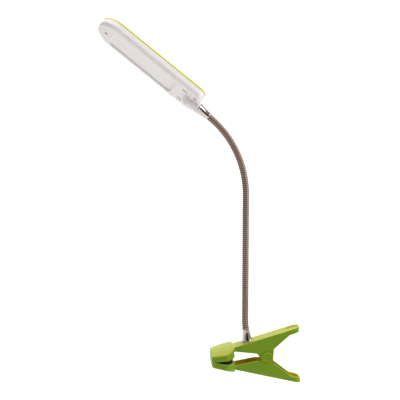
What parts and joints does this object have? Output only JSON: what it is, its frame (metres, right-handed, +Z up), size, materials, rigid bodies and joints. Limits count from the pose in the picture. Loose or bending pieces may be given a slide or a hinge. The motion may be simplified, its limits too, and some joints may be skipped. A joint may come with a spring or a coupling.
{
  "type": "clip on reading lamp",
  "caption": "Slim LED reading light on a ribbed metal gooseneck, held by a sprung plastic clip with wide T-shaped jaws.",
  "frame": {"origin": "centre of the closed jaw pads, on the plane where the jaws meet", "axes": "+X from the jaws towards the handles, +Y across the clip, +Z up through the upper jaw, along which the gooseneck rises"},
  "size_m": [0.2253, 0.0532, 0.4416],
  "materials": {
    "lime_plastic": "glossy injection-moulded plastic in lime green",
    "jaw_rubber": "matt black ribbed rubber",
    "bright_steel": "bright plated steel: pin, spring, studs, nuts, washer and screws",
    "neck_metal": "nickel-grey wound gooseneck metal",
    "ferrule_chrome": "polished chrome",
    "white_plastic": "fine matt white moulding",
    "milky_diffuser": "milky translucent sheet",
    "tray_white": "white reflecting moulding",
    "circuit_board": "green solder mask on glass-fibre board",
    "led_yellow": "yellow phosphor in a clear package",
    "cell_foil": "silver pouch foil",
    "switch_black": "black switch body",
    "lead_insulation": "dark flexible insulation"
  },
  "bodies": {
    "base": {"upper_clip_arm": "lime_plastic", "upper_jaw_pad": "jaw_rubber", "hinge_pin": "bright_steel", "hinge_caps": "lime_plastic", "torsion_spring": "bright_steel", "anchor_stud": "bright_steel", "anchor_washer": "bright_steel", "anchor_nut": "bright_steel", "lower_ferrule": "ferrule_chrome", "neck_link_1": "neck_metal"},
    "neck_2": {"neck_link_2": "neck_metal"},
    "neck_3": {"neck_link_3": "neck_metal"},
    "neck_4": {"neck_link_4": "neck_metal"},
    "neck_5": {"neck_link_5": "neck_metal"},
    "neck_6": {"neck_link_6": "neck_metal"},
    "neck_7": {"neck_link_7": "neck_metal"},
    "head": {"neck_link_8": "neck_metal", "upper_ferrule": "ferrule_chrome", "head_housing": "white_plastic", "head_cover": "lime_plastic", "housing_screws": "bright_steel", "head_stud": "bright_steel", "head_nut": "bright_steel", "diffuser": "milky_diffuser", "reflector_tray": "tray_white", "led_board": "circuit_board", "led_chips": "led_yellow", "battery": "cell_foil", "control_board": "circuit_board", "tact_switch": "switch_black", "charging_socket": "bright_steel", "lead_wires": "lead_insulation"},
    "lower_clip": {"lower_clip_arm": "lime_plastic", "lower_jaw_pad": "jaw_rubber"},
    "button": {"power_button": "white_plastic"}
  },
  "joints": [
    {"name": "neck_bend_1", "type": "hinge", "parent": "base", "child": "neck_2", "pos_m": [0.03353, 0, 0.06745], "axis": [0, 1, 0], "range_deg": [-20, 20]},
    {"name": "neck_bend_2", "type": "hinge", "parent": "neck_2", "child": "neck_3", "pos_m": [0.0347, 0, 0.10091], "axis": [0.9994, 0, -0.0349], "range_deg": [-20, 20]},
    {"name": "neck_bend_3", "type": "hinge", "parent": "neck_3", "child": "neck_4", "pos_m": [0.03587, 0, 0.13437], "axis": [0, 1, 0], "range_deg": [-20, 20]},
    {"name": "neck_bend_4", "type": "hinge", "parent": "neck_4", "child": "neck_5", "pos_m": [0.03703, 0, 0.16783], "axis": [0.9994, 0, -0.0349], "range_deg": [-20, 20]},
    {"name": "neck_bend_5", "type": "hinge", "parent": "neck_5", "child": "neck_6", "pos_m": [0.03807, 0, 0.2013], "axis": [0, 1, 0], "range_deg": [-20, 20]},
    {"name": "neck_bend_6", "type": "hinge", "parent": "neck_6", "child": "neck_7", "pos_m": [0.03296, 0, 0.23427], "axis": [0.957, 0, 0.29], "range_deg": [-20, 20]},
    {"name": "neck_bend_7", "type": "hinge", "parent": "neck_7", "child": "head", "pos_m": [0.0189, 0, 0.26454], "axis": [0, 1, 0], "range_deg": [-20, 20]},
    {"name": "jaw_open", "type": "hinge", "parent": "base", "child": "lower_clip", "pos_m": [0.057, 0, 0], "axis": [0, -1, 0], "range_deg": [0, 30], "stiffness_Nm_per_rad": 1.15, "springref_deg": -49.85, "deforming": ["torsion_spring"]},
    {"name": "button_press", "type": "slide", "parent": "head", "child": "button", "axis": [-0.5781, -0.4695, -0.6674], "range_m": [0, 0.0006], "stiffness_N_per_m": 800, "springref_m": -0.0005}
  ]
}
